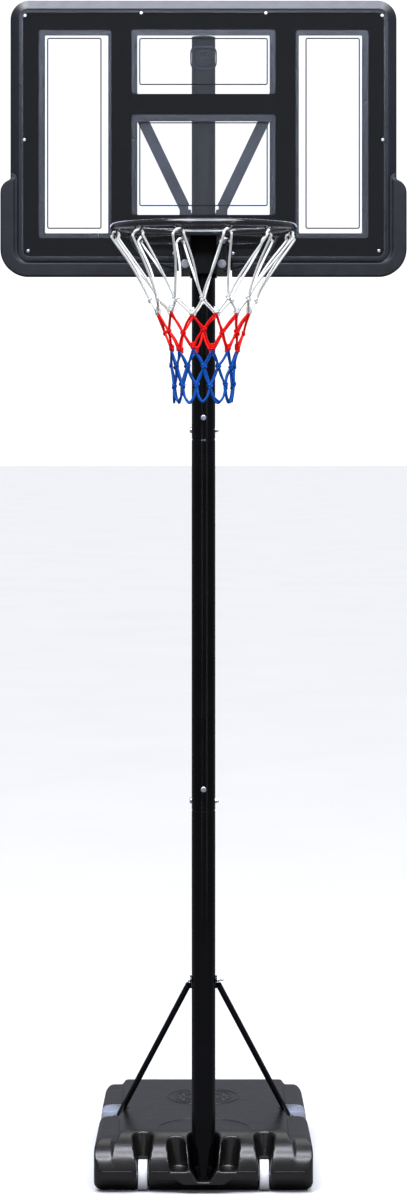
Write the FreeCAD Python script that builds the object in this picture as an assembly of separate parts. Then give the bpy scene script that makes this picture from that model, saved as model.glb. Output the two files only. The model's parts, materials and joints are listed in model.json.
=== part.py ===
import FreeCAD, Part
import math
import os

from FreeCAD import Vector, Rotation, Placement

# Portable basketball hoop: a wheeled, ballasted base tank, a three-section steel pole with two struts,
# and a backboard, rim and net that slide together along the pole on a clamped carriage.
# Millimetres. X is right, Y points to the back, Z is up. The origin is on the floor, on the pole's axis.

# ---- driving dimensions -------------------------------------------------------------------------

# base tank
BASE_HALF_W = 300.0
BASE_TAPER = 10.0
BASE_FRONT = -60.0
BASE_BACK = 720.0
PLATEAU_Z = 155.0
SHOULDER_Z = 140.0
PLATEAU_HALF_W = 222.0
BAND_TOP = 64.0
BAND_BOTTOM = 39.0
TANK_FLOOR = 8.0
HOLLOW_Y = (64.0, 690.0)
HOLLOW_HALF_W = 208.0
HOLLOW_TOP = 146.0
LOBE_HALF_W = 280.0
LOBE_TOP = 128.0
LOBE_SPANS = ((70.0, 262.0), (448.0, 680.0))
BALLAST_GAP = 0.5
WATER_LEVEL = 131.0
SIDE_WATER_LEVEL = 127.0

# pole
POLE_R = 32.5
POLE_WALL = 1.5
POLE_BOTTOM = 25.0
JOINT_Z = (1045.0, 2062.0)
NECK_LENGTH = 90.0
POLE_TOP = 3161.0
FRONT_BOLT_RISE = 58.0
SIDE_BOLT_RISE = 24.0

# wheels and axle
WHEEL_X = 166.6
WHEEL_R = 41.0
WHEEL_W = 26.0
WHEEL_SLOT_W = 32.0
WHEEL_ARCH_R = 46.0
AXLE_R = 6.0
AXLE_Z = 42.0
AXLE_HALF = 196.0

# struts
STRUT_R = 8.25
STRUT_WALL = 1.5
STRUT_BOLT_Z = 578.0
STRUT_TOP = Vector(41.2, 11.0, 562.0)
STRUT_FOOT = Vector(240.0, 333.0, 131.5)
FOOT_BOLT = Vector(247.0, 358.0, 119.2)
GROOVE_Y = (280.0, 430.0)
GROOVE_Z = 115.0
GROOVE_X = 230.0
STRAP_T = 4.0
STRAP_UPSTAND_Z = 139.0
STRAP_CORNER_R = 20.0
FOOT_EAR_R = 11.0
HEEL_R = 8.0
LINK_T = 4.4
SOLE_T = 4.0

# fill opening
CAP_Y = 250.0
CAP_R = 20.0
CAP_FLANGE_R = 26.0
CAP_FLANGE_T = 9.0
CAP_LIFT = 2.2
CAP_PLUG_DEPTH = 18.0
CAP_GRIP = (36.0, 6.0, 8.0)
COLLAR_H = 4.0
COLLAR_R = 31.0
GASKET_T = 2.0

# rings moulded on the tank's flat top, as radius, width and height
MEDALLION_Y = 462.0
MEDALLION_RINGS = ((104.5, 3.5, 1.6), (84.0, 2.5, 1.2))
ARC_RING = (130.0, 3.5, 1.4)
ARC_Y = 52.0

# backboard
BOARD_FRONT = -110.0
PANEL_HALF_W = 492.5
PANEL_Z = (2554.0, 3222.0)
PANEL_T = 4.0
PANEL_R = 20.0
INK_T = 0.2
INK_MARGIN = 3.5
INK_CORNER_R = 16.5
FRAME_HALF_W = 523.5
FRAME_Z = (2522.0, 3251.0)
FRAME_R = 52.0
BEVEL_W = 21.5
BEVEL_BACK = -106.0
LIP_WALL = 4.0
WINDOW_R = 3.0
CLEAR_R = 9.0
STRIPE_R = 6.0
WEB_FRONT = -105.5
WEB_BACK = -98.0
RAIL_FRONT = -117.0
FLANGE_BACK = -84.0
SIDE_WINDOW = (258.5, 429.8, 2620.0, 3157.0)
TOP_WINDOW = (-179.5, 179.5, 2998.0, 3157.0)
LOW_WINDOW = (-179.5, 179.5, 2670.0, 2924.0)
SIDE_CLEAR = (250.0, 447.0, 2607.0, 3171.0)
TOP_CLEAR = (-195.0, 195.0, 2998.0, 3172.0)
LOW_CLEAR = (-195.0, 195.0, 2670.0, 2942.0)
SIDE_STRIPE = (276.4, 424.0, 2632.0, 3150.0)
TOP_STRIPE = (-174.3, 174.3, 3022.0, 3149.6)
LOW_STRIPE = (-174.2, 174.2, 2693.5, 2921.0)
STRIPE_W = 3.2
SCREW_XZ = ((484.0, 3210.0), (169.0, 3217.0), (486.0, 2873.0), (475.5, 2572.0), (80.0, 2565.0))

# edge pad
PAD_HALF_W = 550.0
PAD_BOTTOM = 2502.0
PAD_TOP = 2766.0
PAD_Y = (-126.0, -80.0)
PAD_CORNER_R = 74.0
PAD_EAR_R = 36.0
PAD_LIP_LOW = 17.0
PAD_LIP_SIDE = 20.0
PAD_LIP_R = 38.0
PAD_STEP_SIDE = 10.5
PAD_STEP_Y = -121.5
PAD_STEP_R = 36.0
PAD_FIT = 0.4
TONGUE_RISE = 17.0
TONGUE_R = 19.0
PAD_GAP_HALF = 77.0

# carriage and braces
CARRIAGE_Z = (2504.0, 2684.0)
CARRIAGE_IN = 34.0
SHEET_T = 3.0
FLANGE_OUT = 65.0
CLAMP_Y = -39.0
CLAMP_Z = (2535.0, 2655.0)
BRACE_W = 30.0
BRACE_DEPTH = 12.0
BRACE_LOW = (51.5, 2691.0)
BRACE_HIGH = (187.0, 2974.0)
BRACE_TOP_BOLT_Z = 2958.0
BRACE_LOW_BOLT = (52.0, 2665.0)
BRACE_BOLT_HOLE_R = 3.2
BRACE_TAB = (41.0, 63.0, 2650.0, 2702.0)

# rim
RIM_Y = -470.0
RIM_Z = 2615.0
RIM_R = 234.0
RIM_TUBE_R = 9.0
RIM_PLATE = (35.0, 63.0)
RIM_PLATE_Z = (2502.0, 2616.0)
RIM_PLATE_T = 4.0
RIM_WEB_T = 3.0
RIM_BRACKET_OVERLAP = 20.0
RIM_COVER_DEPTH = 36.0
RIM_COVER_T = 2.5
RIM_COVER_RISE = 8.0
RIM_BOLT_X = 50.0
RIM_BOLT_Z = (2537.0, 2602.0)
RIM_ROD_R = 3.5
RIM_ROD_BEND = Vector(140.0, -206.0, 2541.0)
RIM_ROD_END = Vector(196.0, -346.0, 2601.8)
HOOK_COUNT = 12
HOOK_Z = 2591.0
HOOK_SPREAD = 4.2
HOOK_WIRE_R = 2.4

# net, as heights and cord-circle radii
NET_TOP = (2587.0, 232.0)
NET_WHITE_END = (2389.0, 121.5)
NET_RED_END = (2294.0, 89.0)
NET_BLUE = ((2254.0, 82.5), (2203.0, 78.5), (2154.0, 78.5))
NET_T = 5.0

# fasteners
M8_R = 4.0
M8_CLEAR = 0.2
M8_HEAD_R = 8.0
M8_HEAD_H = 5.5

X_AXIS = Vector(1, 0, 0)
Y_AXIS = Vector(0, 1, 0)
Z_AXIS = Vector(0, 0, 1)

os.makedirs("parts", exist_ok=True)


# ---- shape helpers ------------------------------------------------------------------------------

def save(node, shape):
    shape.exportStep("parts/" + node + ".step")


def block(x0, x1, y0, y1, z0, z1):
    return Part.makeBox(x1 - x0, y1 - y0, z1 - z0, Vector(x0, y0, z0))


def rod(start, end, radius):
    run = end.sub(start)
    return Part.makeCylinder(radius, run.Length, start, run)


def both(shape):
    """The shape and its mirror image across the plane x = 0."""
    return [shape, mirrored(shape)]


def mirrored(shape):
    return shape.mirror(Vector(0, 0, 0), X_AXIS)


def cut_all(shape, tools):
    for tool in tools:
        shape = shape.cut(tool)
    return shape


def fuse_all(shape, others):
    for other in others:
        shape = shape.fuse(other)
    return shape.removeSplitter()


def polygon_wire(points):
    return Part.makePolygon(points + [points[0]])


def prism_xz(x0, x1, z0, z1, y0, y1, radius=0.0):
    """A bar along Y whose section is a rectangle with rounded corners."""
    shape = block(x0, x1, y0, y1, z0, z1)
    if radius:
        along_y = [e for e in shape.Edges if abs(e.tangentAt(e.FirstParameter).y) > 0.9]
        shape = shape.makeFillet(radius, along_y)
    return shape


def rounded_wire(half_w, z0, z1, radius, y):
    """A rounded rectangle in the plane at y."""
    slab = prism_xz(-half_w, half_w, z0, z1, y, y + 1, radius)
    front = min(slab.Faces, key=lambda face: face.CenterOfMass.y)
    return front.OuterWire


def window(rect, y0, y1, radius):
    x0, x1, z0, z1 = rect
    return prism_xz(x0, x1, z0, z1, y0, y1, radius)


def mirror_rect(rect):
    return (-rect[1], -rect[0], rect[2], rect[3])


def hexagon(center, axis, across_flats, height):
    """A hexagonal bar that starts at center and runs along axis."""
    corner = across_flats / math.sqrt(3)
    turns = [math.radians(60 * k + 30) for k in range(6)]
    outline = polygon_wire([Vector(corner * math.cos(t), corner * math.sin(t), 0) for t in turns])
    bar = Part.Face(outline).extrude(Vector(0, 0, height))
    bar.Placement = Placement(center, Rotation(Z_AXIS, axis))
    return bar


def bolt(head_at, axis, length, head_r=M8_HEAD_R, head_h=M8_HEAD_H, shank_r=M8_R, hexed=True):
    """A bolt whose head's underside is at head_at and whose shank runs along axis."""
    back = Vector(axis).multiply(-1)
    shank = Part.makeCylinder(shank_r, length, head_at, axis)
    if hexed:
        head = hexagon(head_at, back, head_r * math.sqrt(3), head_h)
    else:
        head = Part.makeCylinder(head_r, head_h, head_at, back)
        crown = [e for e in head.Edges if e.CenterOfMass.distanceToPoint(head_at) > head_h * 0.9]
        head = head.makeFillet(head_h * 0.6, crown)
    return shank.fuse(head).removeSplitter()


def nut(face_at_point, axis, across_flats=13.0, height=6.5, bore=M8_R + 0.05):
    """A hexagonal nut that starts at a point and runs along axis."""
    ring = hexagon(face_at_point, axis, across_flats, height)
    return ring.cut(Part.makeCylinder(bore, height, face_at_point, axis))


def hole(point, axis, length, radius=M8_R + M8_CLEAR):
    return Part.makeCylinder(radius, length, point, axis)


def arc_bar(start, mid, end, radius):
    """A round bar along the arc through three points."""
    spine = Part.Wire(Part.Arc(start, mid, end).toShape())
    tangent = spine.Edges[0].tangentAt(spine.Edges[0].FirstParameter)
    section = Part.Face(Part.Wire(Part.makeCircle(radius, start, tangent)))
    return spine.makePipe(section)


def u_wire(x, half_w, back_y, front_y, z):
    """A U-shaped outline, open-ended towards the front and round at the back."""
    left = Vector(x - half_w, front_y, z)
    right = Vector(x + half_w, front_y, z)
    left_turn = Vector(x - half_w, back_y - half_w, z)
    right_turn = Vector(x + half_w, back_y - half_w, z)
    crown = Part.Arc(left_turn, Vector(x, back_y, z), right_turn).toShape()
    return Part.Wire([
        Part.makeLine(left, left_turn),
        crown,
        Part.makeLine(right_turn, right),
        Part.makeLine(right, left),
    ])


def funnel(low, high):
    """A pocket between two U-shaped outlines, each given as (x, half width, back y, z)."""
    front = BASE_FRONT - 20
    wires = [u_wire(x, half_w, back, front, z) for x, half_w, back, z in (low, high)]
    return Part.makeLoft(wires, True, True)


# ---- base ---------------------------------------------------------------------------------------

def tank_side_outline(top_z, flat_from, edge_r):
    """The tank's outline seen from the side: undercut, band, bulging front, flat top, round back."""
    rise = top_z - BAND_TOP
    reach = flat_from - BASE_FRONT
    bulge_points = []
    for step in range(1, 16):
        turn = math.radians(6 * step)
        y = flat_from - reach * math.cos(turn)
        z = BAND_TOP + rise * math.sin(turn)
        bulge_points.append(Vector(0, y, z))
    bulge_start = Vector(0, BASE_FRONT, BAND_TOP)
    bulge = Part.BSplineCurve()
    bulge.interpolate([bulge_start] + bulge_points)
    flat_start = bulge_points[-1]
    top_end = Vector(0, BASE_BACK - edge_r, top_z)
    back_top = Vector(0, BASE_BACK, top_z - edge_r)
    middle = Vector(0, BASE_BACK - edge_r * (1 - math.sqrt(0.5)), top_z - edge_r * (1 - math.sqrt(0.5)))
    corners = [
        Vector(0, BASE_BACK, 12),
        Vector(0, BASE_BACK - 12, 0),
        Vector(0, -4, 0),
        Vector(0, BASE_FRONT + 6, BAND_BOTTOM),
        Vector(0, BASE_FRONT, BAND_BOTTOM + 3),
    ]
    edges = [bulge.toShape(), Part.makeLine(flat_start, top_end)]
    edges.append(Part.Arc(top_end, middle, back_top).toShape())
    path = [back_top] + corners + [bulge_start]
    for first, second in zip(path, path[1:]):
        edges.append(Part.makeLine(first, second))
    face = Part.Face(Part.Wire(edges))
    body = face.extrude(Vector(2 * BASE_HALF_W + 20, 0, 0))
    body.translate(Vector(-BASE_HALF_W - 10, 0, 0))
    return body


def tank_half_width(y):
    return BASE_HALF_W - BASE_TAPER * (y - BASE_FRONT) / (BASE_BACK - BASE_FRONT)


def shoulder_section(y):
    """The tank's outline across, at one depth: flat floor and top, rounded sides."""
    half = tank_half_width(y)
    floor_r = 26.0
    top_r = 24.0
    dip = 1 - math.sqrt(0.5)
    edges = []
    for side in (1, -1):
        floor_start = Vector(side * (half - floor_r), y, 0)
        floor_mid = Vector(side * (half - floor_r * dip), y, floor_r * dip)
        floor_end = Vector(side * half, y, floor_r)
        top_start = Vector(side * half, y, SHOULDER_Z - top_r)
        top_mid = Vector(side * (half - top_r * dip), y, SHOULDER_Z - top_r * dip)
        top_end = Vector(side * (half - top_r), y, SHOULDER_Z)
        run = [
            Part.Arc(floor_start, floor_mid, floor_end).toShape(),
            Part.makeLine(floor_end, top_start),
            Part.Arc(top_start, top_mid, top_end).toShape(),
        ]
        if side > 0:
            edges += run + [Part.makeLine(top_end, Vector(-half + top_r, y, SHOULDER_Z))]
        else:
            edges += run[::-1] + [Part.makeLine(floor_start, Vector(half - floor_r, y, 0))]
    return Part.Wire(edges)


def shoulder_bar():
    sections = [shoulder_section(BASE_FRONT - 20), shoulder_section(BASE_BACK + 20)]
    return Part.makeLoft(sections, True, True)


def plateau_bar():
    """The raised middle of the tank, with an S-shaped slope down to each shoulder."""
    depth = BASE_BACK - BASE_FRONT + 40
    slope = 26.0
    low_z = SHOULDER_Z - 4
    half = PLATEAU_HALF_W
    foot = half + slope
    right_s = Part.BezierCurve()
    right_s.setPoles([
        Vector(half, 0, PLATEAU_Z),
        Vector(half + slope * 0.65, 0, PLATEAU_Z),
        Vector(half + slope * 0.35, 0, low_z),
        Vector(foot, 0, low_z),
    ])
    left_s = Part.BezierCurve()
    left_s.setPoles([Vector(-p.x, 0, p.z) for p in reversed(right_s.getPoles())])
    wire = Part.Wire([
        left_s.toShape(),
        Part.makeLine(Vector(-half, 0, PLATEAU_Z), Vector(half, 0, PLATEAU_Z)),
        right_s.toShape(),
        Part.makeLine(Vector(foot, 0, low_z), Vector(foot, 0, BAND_TOP + 6)),
        Part.makeLine(Vector(foot, 0, BAND_TOP + 6), Vector(-foot, 0, BAND_TOP + 6)),
        Part.makeLine(Vector(-foot, 0, BAND_TOP + 6), Vector(-foot, 0, low_z)),
    ])
    bar = Part.Face(wire).extrude(Vector(0, depth, 0))
    bar.translate(Vector(0, BASE_FRONT - 20, 0))
    return bar


def tank_plan():
    """The tank's plan with rounded corners, a hair outside its flat sides."""
    hair = 0.02
    front_half = tank_half_width(BASE_FRONT) + hair
    back_half = tank_half_width(BASE_BACK) + hair
    plan = Part.Face(polygon_wire([
        Vector(-front_half, BASE_FRONT - hair, -5),
        Vector(front_half, BASE_FRONT - hair, -5),
        Vector(back_half, BASE_BACK + hair, -5),
        Vector(-back_half, BASE_BACK + hair, -5),
    ])).extrude(Vector(0, 0, PLATEAU_Z + 15))
    upright = [e for e in plan.Edges if abs(e.tangentAt(e.FirstParameter).z) > 0.9]
    front = [e for e in upright if e.CenterOfMass.y < 0]
    back = [e for e in upright if e.CenterOfMass.y > 0]
    return plan.makeFillet(24, front).makeFillet(60, back)


def front_lip():
    """The six-sided lip that closes the foot of the pole's slot, with its V-shaped notch."""
    outline = polygon_wire([
        Vector(-88, 0, BAND_TOP), Vector(88, 0, BAND_TOP), Vector(88, 0, 48),
        Vector(56, 0, 28), Vector(-56, 0, 28), Vector(-88, 0, 48),
    ])
    lip = Part.Face(outline).extrude(Vector(0, 30, 0))
    lip.translate(Vector(0, BASE_FRONT - 2, 0))
    return lip


def lip_notch():
    outline = polygon_wire([
        Vector(-34, 0, BAND_TOP + 1), Vector(34, 0, BAND_TOP + 1),
        Vector(17, 0, 36), Vector(-17, 0, 36),
    ])
    notch = Part.Face(outline).extrude(Vector(0, 50, 0))
    notch.translate(Vector(0, BASE_FRONT - 12, 0))
    return notch


def wheel_pocket():
    slot_half = WHEEL_SLOT_W / 2
    arch_start = Vector(WHEEL_X - slot_half, 0, AXLE_Z)
    arch = Part.makeCylinder(WHEEL_ARCH_R, WHEEL_SLOT_W, arch_start, X_AXIS)
    front = block(WHEEL_X - slot_half, WHEEL_X + slot_half, BASE_FRONT - 20, 0, -1, AXLE_Z + WHEEL_ARCH_R)
    under = block(WHEEL_X - slot_half, WHEEL_X + slot_half, 0, WHEEL_ARCH_R, -1, AXLE_Z)
    mouth = funnel((WHEEL_X, slot_half, 20, 74), (WHEEL_X, 33, 34, PLATEAU_Z + 12))
    return [arch, front, under, mouth]


def niche():
    return funnel((67, 24.5, 2, BAND_TOP), (79, 25.5, 6, PLATEAU_Z + 12))


def strap_groove():
    y0, y1 = GROOVE_Y
    top = block(GROOVE_X, BASE_HALF_W + 10, y0, y1, GROOVE_Z, PLATEAU_Z + 10)
    side = block(tank_half_width(y1) - 4, BASE_HALF_W + 10, y0, y1, 60, GROOVE_Z + 1)
    return [top, side]


def ring_ridge(radius, width, height, y):
    outer = Part.makeCylinder(radius, height + 1, Vector(0, y, PLATEAU_Z - 1))
    return outer.cut(Part.makeCylinder(radius - width, height + 1, Vector(0, y, PLATEAU_Z - 1)))


def tank_inside(gap, middle_top, side_top):
    """The tank's inside, shrunk by a gap: a middle block and two pairs of side lobes."""
    floor = TANK_FLOOR + gap
    middle = HOLLOW_HALF_W - gap
    side = LOBE_HALF_W - gap
    shape = block(-middle, middle, HOLLOW_Y[0] + gap, HOLLOW_Y[1] - gap, floor, middle_top)
    for y0, y1 in LOBE_SPANS:
        shape = shape.fuse(block(-side, side, y0 + gap, y1 - gap, floor, side_top))
    return shape.removeSplitter()


def make_base():
    plateau = tank_side_outline(PLATEAU_Z, 52, 24).common(plateau_bar())
    shoulder = tank_side_outline(SHOULDER_Z, 46, 22).common(shoulder_bar())
    tank = shoulder.common(tank_plan()).fuse(plateau.common(tank_plan()))
    tank = tank.fuse(front_lip())
    for pocket in wheel_pocket() + [niche()] + strap_groove():
        tank = cut_all(tank, both(pocket))
    slot_low = Part.makeCylinder(36.5, 50, Vector(0, 0, POLE_BOTTOM))
    slot_high = funnel((0, 36.5, 38, BAND_TOP), (0, 47.5, 44, PLATEAU_Z + 12))
    tank = cut_all(tank, [slot_low, slot_high, lip_notch()])
    tank = tank.cut(hole(Vector(-AXLE_HALF - 2, 0, AXLE_Z), X_AXIS, 2 * AXLE_HALF + 4, AXLE_R + 0.1))
    strut_line = STRUT_FOOT.sub(STRUT_TOP).normalize()
    dimple_end = STRUT_FOOT.add(Vector(strut_line).multiply(4))
    dimple_start = STRUT_FOOT.sub(Vector(strut_line).multiply(120))
    tank = cut_all(tank, both(rod(dimple_start, dimple_end, STRUT_R + 7)))
    foot_hole = hole(Vector(FOOT_BOLT.x, FOOT_BOLT.y, 84), Z_AXIS, 60)
    tank = cut_all(tank, both(foot_hole))
    behind = block(-BASE_HALF_W, BASE_HALF_W, ARC_Y + 4, CAP_Y, PLATEAU_Z - 1, PLATEAU_Z + 3)
    ridges = [ring_ridge(*ring, MEDALLION_Y) for ring in MEDALLION_RINGS]
    ridges.append(ring_ridge(*ARC_RING, ARC_Y).common(behind))
    tank = fuse_all(tank, ridges)
    collar = Part.makeCylinder(COLLAR_R, COLLAR_H + 1, Vector(0, CAP_Y, PLATEAU_Z - 1))
    tank = tank.fuse(collar).cut(hole(Vector(0, CAP_Y, PLATEAU_Z - 20), Z_AXIS, 40, CAP_R + 0.4))
    tank = tank.cut(tank_inside(0, HOLLOW_TOP, LOBE_TOP)).removeSplitter()
    save("base_tank", tank)
    save("ballast", tank_inside(BALLAST_GAP, WATER_LEVEL, SIDE_WATER_LEVEL))


def make_fill_cap():
    collar_top = PLATEAU_Z + COLLAR_H
    plug_low = PLATEAU_Z - CAP_PLUG_DEPTH
    flange_low = collar_top + CAP_LIFT
    plug = Part.makeCylinder(CAP_R, flange_low + 1 - plug_low, Vector(0, CAP_Y, plug_low))
    flange = Part.makeCylinder(CAP_FLANGE_R, CAP_FLANGE_T, Vector(0, CAP_Y, flange_low))
    grip_w, grip_t, grip_h = CAP_GRIP
    grip_low = flange_low + CAP_FLANGE_T - 0.2
    grip = block(-grip_w / 2, grip_w / 2, CAP_Y - grip_t / 2, CAP_Y + grip_t / 2, grip_low, grip_low + grip_h)
    cap = fuse_all(plug, [flange, grip])
    for k in range(24):
        turn = math.radians(15 * k)
        flute_at = Vector(CAP_FLANGE_R * math.cos(turn), CAP_Y + CAP_FLANGE_R * math.sin(turn), collar_top + 2)
        cap = cap.cut(Part.makeCylinder(1.2, 12, flute_at))
    save("fill_cap", cap)
    washer = Part.makeCylinder(CAP_FLANGE_R - 2, GASKET_T, Vector(0, CAP_Y, collar_top + 0.1))
    save("cap_gasket", washer.cut(hole(Vector(0, CAP_Y, collar_top), Z_AXIS, 4, CAP_R + 0.3)))


# ---- wheels -------------------------------------------------------------------------------------

def make_wheels():
    start = Vector(WHEEL_X - WHEEL_W / 2, 0, AXLE_Z)
    tread = Part.makeCylinder(WHEEL_R, WHEEL_W, start, X_AXIS)
    rims = [e for e in tread.Edges if e.Curve.TypeId == "Part::GeomCircle"]
    wheel = tread.makeFillet(2.5, rims)
    for x in (WHEEL_X - WHEEL_W / 2 - 1, WHEEL_X + WHEEL_W / 2 - 7):
        dish = hole(Vector(x, 0, AXLE_Z), X_AXIS, 8, WHEEL_R - 6)
        wheel = wheel.cut(dish.cut(hole(Vector(x, 0, AXLE_Z), X_AXIS, 8, 12)))
    hub = hole(Vector(WHEEL_X - WHEEL_W / 2 - 2.2, 0, AXLE_Z), X_AXIS, WHEEL_W + 4.4, 9.5)
    wheel = wheel.fuse(hub).removeSplitter()
    wheel = wheel.cut(hole(Vector(WHEEL_X - 30, 0, AXLE_Z), X_AXIS, 60, AXLE_R + 0.05))
    save("wheel_right", wheel)
    save("wheel_left", mirrored(wheel))
    axle = rod(Vector(-AXLE_HALF, 0, AXLE_Z), Vector(AXLE_HALF, 0, AXLE_Z), AXLE_R)
    save("wheel_axle", axle)


# ---- pole ---------------------------------------------------------------------------------------

def tube(z0, z1, radius, wall):
    shell = Part.makeCylinder(radius, z1 - z0, Vector(0, 0, z0))
    return shell.cut(Part.makeCylinder(radius - wall, z1 - z0, Vector(0, 0, z0)))


def section_with_neck(z0, z1):
    """A pole section whose upper end is drawn down to fit inside the next section."""
    neck_r = POLE_R - POLE_WALL - 0.1
    body = tube(z0, z1 - 6, POLE_R, POLE_WALL)
    outer = Part.makeCone(POLE_R, neck_r, 6, Vector(0, 0, z1 - 6))
    inner = Part.makeCone(POLE_R - POLE_WALL, neck_r - POLE_WALL, 6, Vector(0, 0, z1 - 6))
    neck = tube(z1, z1 + NECK_LENGTH, neck_r, POLE_WALL)
    return fuse_all(body, [outer.cut(inner), neck])


def joint_holes():
    cuts = []
    for joint in JOINT_Z:
        cuts.append(hole(Vector(0, -50, joint + FRONT_BOLT_RISE), Y_AXIS, 100))
        cuts.append(hole(Vector(-50, 0, joint + SIDE_BOLT_RISE), X_AXIS, 100))
    return cuts


def make_pole():
    cuts = joint_holes()
    bottom = section_with_neck(POLE_BOTTOM, JOINT_Z[0])
    bottom = cut_all(bottom, cuts)
    bottom = bottom.cut(hole(Vector(-50, 0, AXLE_Z), X_AXIS, 100, AXLE_R + 0.2))
    bottom = bottom.cut(hole(Vector(-50, 0, STRUT_BOLT_Z), X_AXIS, 100))
    save("pole_bottom", bottom)
    save("pole_middle", cut_all(section_with_neck(*JOINT_Z), cuts))
    save("pole_top", cut_all(tube(JOINT_Z[1], POLE_TOP, POLE_R, POLE_WALL), cuts))
    cap = Part.makeCylinder(POLE_R, 4, Vector(0, 0, POLE_TOP))
    rim_edge = [e for e in cap.Edges if e.CenterOfMass.z > POLE_TOP + 3.9]
    cap = cap.makeFillet(2.5, rim_edge)
    spigot = Part.makeCylinder(POLE_R - POLE_WALL - 0.1, 22, Vector(0, 0, POLE_TOP - 22))
    save("pole_top_cap", cap.fuse(spigot).removeSplitter())
    bolts = []
    nuts = []
    for joint in JOINT_Z:
        front_z = joint + FRONT_BOLT_RISE
        side_z = joint + SIDE_BOLT_RISE
        bolts.append(bolt(Vector(0, -POLE_R, front_z), Y_AXIS, 2 * POLE_R + 10, hexed=False))
        bolts.append(bolt(Vector(-POLE_R, 0, side_z), X_AXIS, 2 * POLE_R + 10, hexed=False))
        nuts.append(nut(Vector(0, POLE_R, front_z), Y_AXIS))
        nuts.append(nut(Vector(POLE_R, 0, side_z), X_AXIS))
    save("pole_joint_bolts", Part.makeCompound(bolts))
    save("pole_joint_nuts", Part.makeCompound(nuts))


# ---- struts -------------------------------------------------------------------------------------

def make_struts():
    lean = STRUT_FOOT.sub(STRUT_TOP).normalize()
    outer = rod(STRUT_TOP, STRUT_FOOT, STRUT_R)
    bore_start = STRUT_TOP.add(Vector(lean).multiply(14))
    bore_end = STRUT_FOOT.sub(Vector(lean).multiply(14))
    bore = rod(bore_start, bore_end, STRUT_R - STRUT_WALL)
    plate_x = POLE_R + 0.1
    tail_at = Vector(plate_x, STRUT_TOP.y + 2, STRUT_TOP.z - 3)
    ear_at = Vector(plate_x, 0, STRUT_BOLT_Z)
    ear = Part.makeCylinder(FOOT_EAR_R, LINK_T, ear_at, X_AXIS)
    tail = Part.makeCylinder(HEEL_R, LINK_T, tail_at, X_AXIS)
    side = Vector(0, lean.z, -lean.y).normalize()
    link = Part.Face(polygon_wire([
        ear_at.add(Vector(side).multiply(FOOT_EAR_R)),
        tail_at.add(Vector(side).multiply(HEEL_R)),
        tail_at.sub(Vector(side).multiply(HEEL_R)),
        ear_at.sub(Vector(side).multiply(FOOT_EAR_R)),
    ])).extrude(Vector(LINK_T, 0, 0))
    foot_low = Part.makeCylinder(FOOT_EAR_R, SOLE_T, FOOT_BOLT)
    heel = Part.makeCylinder(HEEL_R, SOLE_T, Vector(STRUT_FOOT.x, STRUT_FOOT.y, FOOT_BOLT.z))
    run = Vector(FOOT_BOLT.x - STRUT_FOOT.x, FOOT_BOLT.y - STRUT_FOOT.y, 0).normalize()
    across = Vector(-run.y, run.x, 0)
    heel_at = Vector(STRUT_FOOT.x, STRUT_FOOT.y, FOOT_BOLT.z)
    sole = Part.Face(polygon_wire([
        FOOT_BOLT.add(Vector(across).multiply(FOOT_EAR_R)),
        heel_at.add(Vector(across).multiply(HEEL_R)),
        heel_at.sub(Vector(across).multiply(HEEL_R)),
        FOOT_BOLT.sub(Vector(across).multiply(FOOT_EAR_R)),
    ])).extrude(Vector(0, 0, SOLE_T))
    ankle = rod(STRUT_FOOT, heel_at.add(Vector(0, 0, 2)), 7)
    strut = fuse_all(outer, [ear, tail, link, foot_low, heel, sole, ankle]).cut(bore)
    strut = strut.cut(hole(Vector(20, 0, STRUT_BOLT_Z), X_AXIS, 30))
    strut = strut.cut(hole(Vector(FOOT_BOLT.x, FOOT_BOLT.y, 110), Z_AXIS, 20))
    save("strut_right", strut)
    save("strut_left", mirrored(strut))
    head_x = -plate_x - 4.5
    cross_bolt = bolt(Vector(head_x, 0, STRUT_BOLT_Z), X_AXIS, 2 * (POLE_R + 4.6) + 18)
    save("strut_pole_bolt", cross_bolt)
    save("strut_pole_nut", nut(Vector(plate_x + 4.5, 0, STRUT_BOLT_Z), X_AXIS))
    foot_head = Vector(FOOT_BOLT.x, FOOT_BOLT.y, FOOT_BOLT.z + 4.1)
    foot_bolt = bolt(foot_head, Vector(0, 0, -1), 38, head_r=7.5)
    save("strut_foot_bolts", Part.makeCompound(both(foot_bolt)))
    make_straps()


def make_straps():
    """The plated saddle plates in the tank's side grooves: folded down over the side and up at the back."""
    y0 = GROOVE_Y[0] + 4
    y1 = GROOVE_Y[1] - 1
    outer_x = tank_half_width(y1) - 0.4
    bottom = GROOVE_Z + 0.1
    top = block(GROOVE_X + 3, outer_x, y0, y1, bottom, bottom + STRAP_T)
    side = block(outer_x - 3.2, outer_x, y0, y1, BAND_TOP, bottom + STRAP_T)
    strap = top.fuse(side).removeSplitter()
    corner = [e for e in strap.Edges if e.CenterOfMass.x > outer_x - 0.5 and e.CenterOfMass.z > bottom + 3.8]
    strap = strap.makeFillet(3.5, corner)
    upstand = prism_xz(GROOVE_X - 40, outer_x, bottom - 30, STRAP_UPSTAND_Z, y1 - 3, y1, STRAP_CORNER_R)
    upstand = upstand.common(block(GROOVE_X + 3, outer_x, y0, y1, bottom, STRAP_UPSTAND_Z))
    strap = strap.fuse(upstand).removeSplitter()
    strap = strap.cut(hole(Vector(FOOT_BOLT.x, FOOT_BOLT.y, 100), Z_AXIS, 30))
    save("strut_saddle_right", strap)
    save("strut_saddle_left", mirrored(strap))


# ---- backboard ----------------------------------------------------------------------------------

def through_board(radius, xs, zs):
    cuts = []
    for x in xs:
        for z in zs:
            cuts.append(hole(Vector(x, -140, z), Y_AXIS, 60, radius))
    return cuts


def screw_points():
    return [(side * x, z) for x, z in SCREW_XZ for side in (-1, 1)]


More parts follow.
